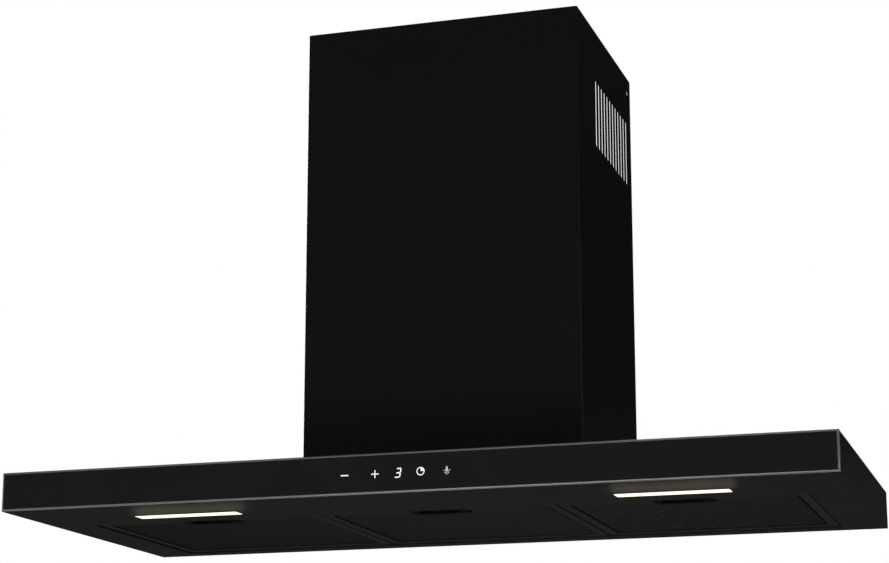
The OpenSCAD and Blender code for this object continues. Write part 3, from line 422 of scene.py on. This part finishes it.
# opal polycarbonate, lit from behind: warm white, a little brighter over each diode
opal, tree, shader, where = surface("lit_opal_polycarbonate",
                                    {"Base Color": lin("#f2efe6"), "IOR": 1.58, "Roughness": 0.35,
                                     "Emission Strength": 1.1})
spread = add(tree, "ShaderNodeTexNoise", {"Vector": where, "Scale": 1 / 0.013, "Detail": 1.0})
add(tree, "ShaderNodeMix", {0: spread.outputs[0], 6: lin("#fff0d2"), 7: lin("#fffaf0")},
    shader.inputs["Emission Color"], 2, data_type="RGBA")
# white solder mask and yellow phosphor
white_mask, tree, shader, where = surface("white_solder_mask", {"Roughness": 0.4})
specks = add(tree, "ShaderNodeTexNoise", {"Vector": where, "Scale": 1 / 0.002})
add(tree, "ShaderNodeMix", {0: specks.outputs[0], 6: lin("#dcdcd8"), 7: lin("#eeeeea")},
    shader.inputs["Base Color"], 2, data_type="RGBA")
phosphor, tree, shader, where = surface("yellow_phosphor", {"Roughness": 0.5})
specks = add(tree, "ShaderNodeTexNoise", {"Vector": where, "Scale": 1 / 0.001})
add(tree, "ShaderNodeMix", {0: specks.outputs[0], 6: lin("#d8b440"), 7: lin("#e8cc60")},
    shader.inputs["Base Color"], 2, data_type="RGBA")
low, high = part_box("led_boards")
DIODE = 0.0007
finished("led_boards", 0.0001, [white_mask, phosphor],
         pick=lambda at, n: int(at.z < low.z + DIODE))

# a faint lamp under each diffuser shines up at it, so that the panel glows a little round it
GLOW_Z = -0.016
for side in ("left", "right"):
    finished("lamp_housing_" + side, 0.0004, black_abs)
    finished("lamp_diffuser_" + side, 0.0004, opal)
    low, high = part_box("lamp_diffuser_" + side)
    glow = bpy.data.objects.new("glow_" + side, bpy.data.lights.new("glow_" + side, "AREA"))
    bpy.context.scene.collection.objects.link(glow)
    glow.data.shape = "RECTANGLE"
    glow.data.size, glow.data.size_y = high.x - low.x, high.y - low.y
    glow.data.energy = 0.008
    glow.data.color = lin("#ffefd4")[:3]
    glow.location = ((low.x + high.x) / 2, (low.y + high.y) / 2, GLOW_Z)
    glow.rotation_euler = (math.pi, 0, 0)
    glow.visible_camera = False


# ---- blower box ----
# A folded box of hot-dip galvanised sheet that carries everything inside. It hangs on two hooks and
# two lower screws on the wall, and its foot flanges are screwed down through the canopy's top.

# galvanised sheet: grey zinc with frost-like spangle about 9 mm across
galvanised, tree, shader, where = surface("spangled_galvanised_steel", {"Metallic": 1.0})
spangle = add(tree, "ShaderNodeTexVoronoi", {"Vector": where, "Scale": 1 / 0.009})
tone = add(tree, "ShaderNodeSeparateColor", {0: spangle.outputs["Color"]})
add(tree, "ShaderNodeMapRange", {"Value": tone.outputs[1], "To Min": 0.42, "To Max": 0.5},
    shader.inputs["Roughness"])
add(tree, "ShaderNodeMix", {0: tone.outputs[0], 6: lin("#a3a8ab"), 7: lin("#b6bbbe")},
    shader.inputs["Base Color"], 2, data_type="RGBA")
finished("blower_box", 0.0003, galvanised)
finished("box_screws", 0.0002, zinc_plate)
finished("wall_hooks", 0.0003, zinc_plate)


# ---- scroll and motor ----
# Two ABS half-shells make the scroll. The capacitor-run motor hangs behind it on a three-armed
# bracket, in rubber bushes, so that it doesn't hum into the sheet metal.
for node in ("scroll_front", "scroll_rear"):
    finished(node, 0.0005, black_abs)
finished("motor_bracket", 0.0003, zinc_plate)

# rubber: soft dull black with a faint bloom
rubber, tree, shader, where = surface("black_rubber", {"Roughness": 0.85, "IOR": 1.52})
bloom = add(tree, "ShaderNodeTexNoise", {"Vector": where, "Scale": 1 / 0.005, "Detail": 4.0})
add(tree, "ShaderNodeMix", {0: bloom.outputs[0], 6: lin("#121212"), 7: lin("#262626")},
    shader.inputs["Base Color"], 2, data_type="RGBA")
finished("rubber_mounts", 0.0004, rubber)

# electrical steel: a stack of laminations edge-on along Y, drawn coarser than life; a wave texture
# of scale 1 repeats every WAVE_LENGTH metres
WAVE_LENGTH = math.tau / 20
laminations, tree, shader, where = surface("stacked_laminations", {"Metallic": 1.0, "Roughness": 0.45})
stack = add(tree, "ShaderNodeTexWave", {"Vector": where, "Scale": WAVE_LENGTH / 0.001974,
                                        "Distortion": 0.4}, bands_direction="Y")
add(tree, "ShaderNodeMix", {0: stack.outputs[0], 6: lin("#4c4d50"), 7: lin("#86888b")},
    shader.inputs["Base Color"], 2, data_type="RGBA")
# enamelled copper wire, wound side by side
copper, tree, shader, where = surface("enamelled_copper_winding", {"Metallic": 1.0, "Roughness": 0.32})
turns = add(tree, "ShaderNodeTexWave", {"Vector": where, "Scale": WAVE_LENGTH / 0.002369,
                                        "Distortion": 1.0}, bands_direction="Z")
add(tree, "ShaderNodeMix", {0: turns.outputs[0], 6: lin("#7a3f1c"), 7: lin("#c4743c")},
    shader.inputs["Base Color"], 2, data_type="RGBA")
low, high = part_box("motor_stator")
WINDING = 0.0029
finished("motor_stator", 0.0003, [laminations, copper],
         pick=lambda at, n: int(at.y < low.y + WINDING or at.y > high.y - WINDING))
finished("motor_end_caps", 0.0004, zinc_plate)

# sintered bronze: dull brown-gold with oil-dark pores
bronze, tree, shader, where = surface("sintered_bronze", {"Metallic": 1.0, "Roughness": 0.5})
pores = add(tree, "ShaderNodeTexNoise", {"Vector": where, "Scale": 1 / 0.0007})
add(tree, "ShaderNodeMix", {0: pores.outputs[0], 6: lin("#6d5228"), 7: lin("#a9854a")},
    shader.inputs["Base Color"], 2, data_type="RGBA")
finished("motor_bearings", 0.0003, bronze)

# ground shaft and cast rotor: bright steel with turning marks round the axis
ground_steel, tree, shader, where = surface("ground_steel", {"Metallic": 1.0})
turning = add(tree, "ShaderNodeTexWave", {"Vector": where, "Scale": WAVE_LENGTH / 0.001579,
                                          "Distortion": 2.0}, bands_direction="Y")
add(tree, "ShaderNodeMapRange", {"Value": turning.outputs[0], "To Min": 0.25, "To Max": 0.4},
    shader.inputs["Roughness"])
add(tree, "ShaderNodeMix", {0: turning.outputs[0], 6: lin("#8e9093"), 7: lin("#b2b4b7")},
    shader.inputs["Base Color"], 2, data_type="RGBA")
finished("motor_rotor", 0.0003, ground_steel)

# polypropylene case of the run capacitor: waxy off-white
polypropylene, tree, shader, where = surface("white_polypropylene", {"Roughness": 0.45, "IOR": 1.49})
cloudy = add(tree, "ShaderNodeTexNoise", {"Vector": where, "Scale": 1 / 0.012})
add(tree, "ShaderNodeMix", {0: cloudy.outputs[0], 6: lin("#cfcfc8"), 7: lin("#e4e4de")},
    shader.inputs["Base Color"], 2, data_type="RGBA")
finished("run_capacitor", 0.0008, polypropylene)


# ---- impeller ----
# A double-inlet drum fan, moulded in grey glass-filled nylon: thin curved blades between a middle
# disc and two end rings, with a hub pressed on the motor's shaft.

# glass-filled nylon: mid grey, matt, with faint flow marks
grey_nylon, tree, shader, where = surface("grey_glass_filled_nylon", {"Roughness": 0.6, "IOR": 1.53})
flow = add(tree, "ShaderNodeTexNoise", {"Vector": where, "Scale": 1 / 0.006, "Detail": 5.0})
add(tree, "ShaderNodeMix", {0: flow.outputs[0], 6: lin("#3c3e40"), 7: lin("#55585a")},
    shader.inputs["Base Color"], 2, data_type="RGBA")
finished("impeller", 0, grey_nylon, crisp=True)


# ---- electronics ----
# A shallow ABS box on the blower box's front with the power board, a three-way terminal block and a
# compression gland for the mains lead. Its lid snaps on with two hooks.
for node in ("electronics_box", "electronics_lid"):
    finished(node, 0.0005, black_abs)
low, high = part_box("power_board")
BOARD = 0.0017
finished("power_board", 0.0002, [board, epoxy],
         pick=lambda at, n: int(at.y < high.y - BOARD))
finished("terminal_block", 0.0004, polypropylene)
finished("cable_gland", 0.0005, black_abs)


# ---- outlet ----
# A moulded collar takes the 150 mm duct. Two half-round nylon flaps turn in it on their own rods and
# fall shut when the fan stops.
finished("outlet_collar", 0.0005, black_abs)
finished("collar_screws", 0.0002, zinc_plate)
for side in ("left", "right"):
    finished("non_return_flap_" + side, 0.0003, grey_nylon)


# ---- leads ----
# Round PVC-sheathed leads from the lamps, the touch board and the motor to the electronics box.

# soft PVC: satin dark grey with a slight drag texture
sheath, tree, shader, where = surface("pvc_sheath", {"Roughness": 0.5, "IOR": 1.54})
drag = add(tree, "ShaderNodeTexNoise", {"Vector": where, "Scale": 1 / 0.0015})
add(tree, "ShaderNodeMix", {0: drag.outputs[0], 6: lin("#1c1c1e"), 7: lin("#2c2c2f")},
    shader.inputs["Base Color"], 2, data_type="RGBA")
for node in ("lamp_harness", "control_lead", "motor_lead"):
    finished(node, 0, sheath)


# ---- chimney ----
# Two powder-coated steel channels, one inside the other. The outer one stands on the canopy; the
# inner one slides up to the ceiling, and flush rivets hold it to a zinc-plated bracket.
BEND_OUT, BEND_IN, SHEET = 0.0018, 0.001, 0.0008
for node in ("lower_chimney", "upper_chimney"):
    low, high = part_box(node)

    def outer_bend(at, along):
        """The two upright edges where the front meets the sides, outside."""
        on_side = abs(abs(at.x) - high.x) < IN_PLANE
        on_front = abs(at.y - low.y) < IN_PLANE
        return abs(along.z) > 0.01 and on_side and on_front

    def inner_bend(at, along):
        """The two upright edges where the front meets the sides, inside."""
        on_side = abs(abs(at.x) - high.x + SHEET) < IN_PLANE
        on_front = abs(at.y - low.y - SHEET) < IN_PLANE
        return abs(along.z) > 0.01 and on_side and on_front

    finished(node, 0.00025, powder_coat,
             [(outer_bend, BEND_OUT), (inner_bend, BEND_IN)])
finished("ceiling_bracket", 0.0003, zinc_plate)
finished("bracket_rivets", 0.0002, zinc_plate)


# ---- filters ----
# Three cassettes of expanded aluminium in a rolled aluminium frame, all black. Each hangs by the wire
# in its rear edge and is held in front by a sprung latch in a moulded finger cup.

# black anodised aluminium: a fine lengthwise brushing under a dark, slightly metallic skin
anodised, tree, shader, where = surface("black_anodised_aluminium", {"Metallic": 0.6})
stretch = add(tree, "ShaderNodeMapping", {"Vector": where, "Scale": (1 / 0.02, 1 / 0.0005, 1 / 0.0005)})
brushing = add(tree, "ShaderNodeTexNoise", {"Vector": stretch.outputs[0], "Scale": 1.0, "Detail": 3.0})
add(tree, "ShaderNodeMapRange", {"Value": brushing.outputs[0], "To Min": 0.3, "To Max": 0.46},
    shader.inputs["Roughness"])
add(tree, "ShaderNodeMix", {0: brushing.outputs[0], 6: lin("#18181a"), 7: lin("#26262a")},
    shader.inputs["Base Color"], 2, data_type="RGBA")

# expanded aluminium, dyed black: strands worn a little brighter on their crests
strand_metal, tree, shader, where = surface("black_expanded_aluminium",
                                            {"Metallic": 0.7, "Roughness": 0.42})
worn = add(tree, "ShaderNodeTexNoise", {"Vector": where, "Scale": 1 / 0.012, "Detail": 3.0})
add(tree, "ShaderNodeMix", {0: worn.outputs[0], 6: lin("#1a1a1c"), 7: lin("#323234")},
    shader.inputs["Base Color"], 2, data_type="RGBA")

# glass-filled nylon, black: quite matt, so the finger recess stays dark, with streaks where it flowed
black_nylon, tree, shader, where = surface("black_glass_filled_nylon",
                                           {"IOR": 1.53, "Specular IOR Level": 0.12})
streaks = add(tree, "ShaderNodeTexNoise", {"Vector": where, "Scale": 1 / 0.004, "Detail": 4.0})
add(tree, "ShaderNodeMapRange", {"Value": streaks.outputs[0], "To Min": 0.62, "To Max": 0.78},
    shader.inputs["Roughness"])
add(tree, "ShaderNodeMix", {0: streaks.outputs[0], 6: lin("#050506"), 7: lin("#0b0b0c")},
    shader.inputs["Base Color"], 2, data_type="RGBA")

# nickel-plated music wire
spring_wire, tree, shader, where = surface("plated_spring_wire", {"Metallic": 1.0, "Roughness": 0.25})
drawn = add(tree, "ShaderNodeTexNoise", {"Vector": where, "Scale": 1 / 0.001})
add(tree, "ShaderNodeMix", {0: drawn.outputs[0], 6: lin("#9c9c9c"), 7: lin("#c2c2c0")},
    shader.inputs["Base Color"], 2, data_type="RGBA")

# One layer of expanded metal: zigzag strands side by side, every other one half a diamond out of step,
# so that they meet at the bonds. The strands in the cup's way end on its sides.
layer = bpy.data.node_groups.new("expanded_metal_layer", "GeometryNodeTree")
sockets = {}
for name, kind in (("Geometry", "NodeSocketGeometry"), ("Corner", "NodeSocketVector"),
                   ("Width", "NodeSocketFloat"), ("Depth", "NodeSocketFloat"),
                   ("Long Way", "NodeSocketFloat"), ("Short Way", "NodeSocketFloat"),
                   ("Strand Width", "NodeSocketFloat"), ("Strand Thickness", "NodeSocketFloat"),
                   ("Cup Half Width", "NodeSocketFloat"), ("Cup Depth", "NodeSocketFloat"),
                   ("Metal", "NodeSocketMaterial")):
    sockets[name] = layer.interface.new_socket(name, in_out="INPUT", socket_type=kind).identifier
layer.interface.new_socket("Geometry", in_out="OUTPUT", socket_type="NodeSocketGeometry")
given = add(layer, "NodeGroupInput").outputs


def sum_of(operation, *values):
    """A Math node's output."""
    return add(layer, "ShaderNodeMath", dict(enumerate(values)), operation=operation).outputs[0]


half_long = sum_of("DIVIDE", given["Long Way"], 2.0)
half_short = sum_of("DIVIDE", given["Short Way"], 2.0)
steps = sum_of("FLOOR", sum_of("DIVIDE", given["Width"], half_long))
rows = sum_of("FLOOR", sum_of("DIVIDE", sum_of("SUBTRACT", given["Depth"], half_short), half_short))
step = add(layer, "ShaderNodeCombineXYZ", {0: half_long}).outputs[0]
row_step = add(layer, "ShaderNodeCombineXYZ", {1: half_short}).outputs[0]
one = add(layer, "GeometryNodeMeshLine", {"Count": sum_of("ADD", steps, 1.0), "Offset": step})
starts = add(layer, "GeometryNodeMeshLine", {"Count": sum_of("ADD", rows, 1.0), "Offset": row_step})
lines = add(layer, "GeometryNodeInstanceOnPoints", {"Points": starts.outputs[0],
                                                    "Instance": one.outputs[0]})
wires = add(layer, "GeometryNodeRealizeInstances", {0: lines.outputs[0]})
here = add(layer, "GeometryNodeInputPosition").outputs[0]
spot = add(layer, "ShaderNodeSeparateXYZ", {0: here}).outputs
# the rows in front of the cup's rear edge lose their points behind the cup, and end on its sides
crest = sum_of("ADD", spot[1], sum_of("DIVIDE", half_short, 2.0))
in_front = sum_of("LESS_THAN", crest, given["Cup Depth"])
off_centre = sum_of("SUBTRACT", spot[0], sum_of("DIVIDE", given["Width"], 2.0))
inside_by = sum_of("SUBTRACT", given["Cup Half Width"], sum_of("ABSOLUTE", off_centre))
short_of = sum_of("MAXIMUM", inside_by, 0.0)
push = sum_of("MULTIPLY", sum_of("MULTIPLY", short_of, in_front), sum_of("SIGN", off_centre))
hole = sum_of("MULTIPLY", sum_of("GREATER_THAN", short_of, half_long), in_front)
cut = add(layer, "GeometryNodeDeleteGeometry", {"Geometry": wires.outputs[0], "Selection": hole})
across = sum_of("ROUND", sum_of("DIVIDE", spot[0], half_long))
along = sum_of("ROUND", sum_of("DIVIDE", spot[1], half_short))
parity = sum_of("FLOORED_MODULO", sum_of("ADD", across, along), 2.0)
zig = sum_of("MULTIPLY", sum_of("SUBTRACT", parity, 0.5), half_short)
shift = add(layer, "ShaderNodeCombineXYZ", {0: push, 1: sum_of("ADD", zig, half_short)}).outputs[0]
bent = add(layer, "GeometryNodeSetPosition", {"Geometry": cut.outputs[0], "Offset": shift})
curves = add(layer, "GeometryNodeMeshToCurve", {"Mesh": bent.outputs[0]})
level = add(layer, "GeometryNodeSetCurveNormal", {"Curve": curves.outputs[0]}, mode="Z_UP")
strip = add(layer, "GeometryNodeCurvePrimitiveQuadrilateral", {"Width": given["Strand Width"],
                                                               "Height": given["Strand Thickness"]})
strands = add(layer, "GeometryNodeCurveToMesh", {"Curve": level.outputs[0],
                                                 "Profile Curve": strip.outputs[0], "Fill Caps": True})
placed = add(layer, "GeometryNodeTransform", {"Geometry": strands.outputs[0],
                                              "Translation": given["Corner"]})
joined = add(layer, "GeometryNodeJoinGeometry")
layer.links.new(given["Geometry"], joined.inputs[0])
layer.links.new(placed.outputs[0], joined.inputs[0])
real = add(layer, "GeometryNodeRealizeInstances", {0: joined.outputs[0]})
metal = add(layer, "GeometryNodeSetMaterial", {"Geometry": real.outputs[0], "Material": given["Metal"]})
layer.links.new(metal.outputs[0], add(layer, "NodeGroupOutput").inputs[0])

# a fine layer in front and four coarse ones behind it, each a quarter of a row out of step with the
# last: its height, how coarse it is, its strands' width and thickness, and its share of a row
FINE_LONG_WAY, FINE_SHORT_WAY = 0.0064, 0.0040
CUP_GAP = 0.0006
LAYERS = [(0.0004, 1, 0.0010, 0.0006, 0)]
LAYERS += [(0.0019 + 0.0014 * k, 2, 0.0018, 0.0007, k / 4) for k in range(4)]

for side in ("left", "centre", "right"):
    finished("filter_frame_" + side, 0.0005, anodised)
    finished("latch_cup_" + side, 0.0005, black_nylon)
    finished("latch_slide_" + side, 0.0004, black_nylon)
    low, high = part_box("filter_mesh_" + side)
    cup_low, cup_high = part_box("latch_cup_" + side)
    rough = bpy.data.objects.new("rough", bpy.data.meshes.new("rough"))
    bpy.context.scene.collection.objects.link(rough)
    for rise, coarse, wide, thick, out_of_step in LAYERS:
        long_way, short_way = FINE_LONG_WAY * coarse, FINE_SHORT_WAY * coarse
        aside, back = out_of_step * long_way / 2, out_of_step * short_way / 2
        modifier = rough.modifiers.new("layer", "NODES")
        modifier.node_group = layer
        values = {"Corner": (low.x + aside, low.y + back, low.z + rise),
                  "Width": high.x - low.x - 2 * aside, "Depth": high.y - low.y - back,
                  "Long Way": long_way, "Short Way": short_way,
                  "Strand Width": wide, "Strand Thickness": thick,
                  "Cup Half Width": (cup_high.x - cup_low.x) / 2 + CUP_GAP,
                  "Cup Depth": cup_high.y - low.y - back + CUP_GAP, "Metal": strand_metal}
        for name, value in values.items():
            modifier[sockets[name]] = value
    mesh_piece = settled(rough, "filter_mesh_" + side + ".piece")
    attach(mesh_piece, "filter_" + side)
    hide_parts("filter_mesh_" + side)

    spring = finished("latch_spring_" + side, 0, spring_wire)
    low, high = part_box("latch_spring_" + side)
    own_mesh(spring)
